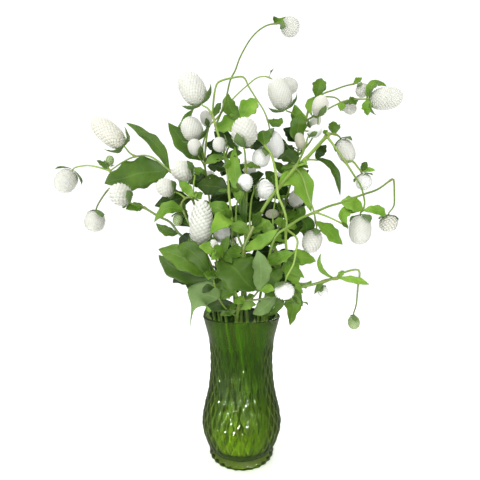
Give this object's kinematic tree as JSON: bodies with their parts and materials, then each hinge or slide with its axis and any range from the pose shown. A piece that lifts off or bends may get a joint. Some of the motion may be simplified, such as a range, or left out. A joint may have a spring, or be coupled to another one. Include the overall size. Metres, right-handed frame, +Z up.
{
  "type": "vase of globe amaranth",
  "caption": "Footed pressed-glass vase with a quilted diamond body, holding water and cut leafy stems with papery white globe flower heads.",
  "frame": {"origin": "centre of the vase's flat underside", "axes": "+Z up along the vase's axis, -Y towards the front of the bunch, +X to its right"},
  "size_m": [0.4519, 0.2151, 0.588],
  "materials": {
    "glass": "clear deep green pressed glass, glossy",
    "water": "clear still water",
    "foliage": "fresh green leaves and stems, soft satin",
    "flower": "papery white bracts, matte"
  },
  "bodies": {
    "root": {"vase": "glass", "water": "water", "stem_far_left": "foliage", "stem_left_low": "foliage", "stem_left_mid": "foliage", "stem_spiky": "foliage", "stem_left_upper": "foliage", "stem_tall": "foliage", "stem_centre": "foliage", "stem_star": "foliage", "stem_centre_right": "foliage", "stem_right_tall": "foliage", "stem_right_long": "foliage", "stem_right_hanging": "foliage", "stem_front": "foliage", "stem_back": "foliage", "head_top": "flower", "head_upper_left": "flower", "head_long_left": "flower", "head_far_left": "flower", "head_bud_left": "flower", "head_low_left": "flower", "head_left_leafy": "flower", "head_left_mid": "flower", "head_left_behind": "flower", "head_left_upper": "flower", "head_small_upper": "flower", "head_peeping": "flower", "head_at_stem": "flower", "head_centre": "flower", "head_spiky": "flower", "head_under_leaf": "flower", "head_big_upper": "flower", "head_arching": "flower", "head_hanging_mid": "flower", "head_under_leaf_mid": "flower", "head_centre_small": "flower", "head_beside_stem": "flower", "head_far_right": "flower", "head_right_upper": "flower", "head_right_tiny": "flower", "head_right_inner": "flower", "head_right_back": "flower", "head_pale_right": "flower", "head_right_front": "flower", "head_right_small": "flower", "head_hanging_right": "flower", "head_striped": "flower", "head_front_right": "flower", "head_grey": "flower", "head_over_lip": "flower", "head_small_low": "flower", "head_hanging_low": "flower", "head_white_bud": "flower", "head_green_bud": "flower", "head_back_top": "flower", "head_back_left": "flower", "head_back_right": "flower", "head_back_low": "flower", "head_back_side": "flower"}
  },
  "joints": []
}
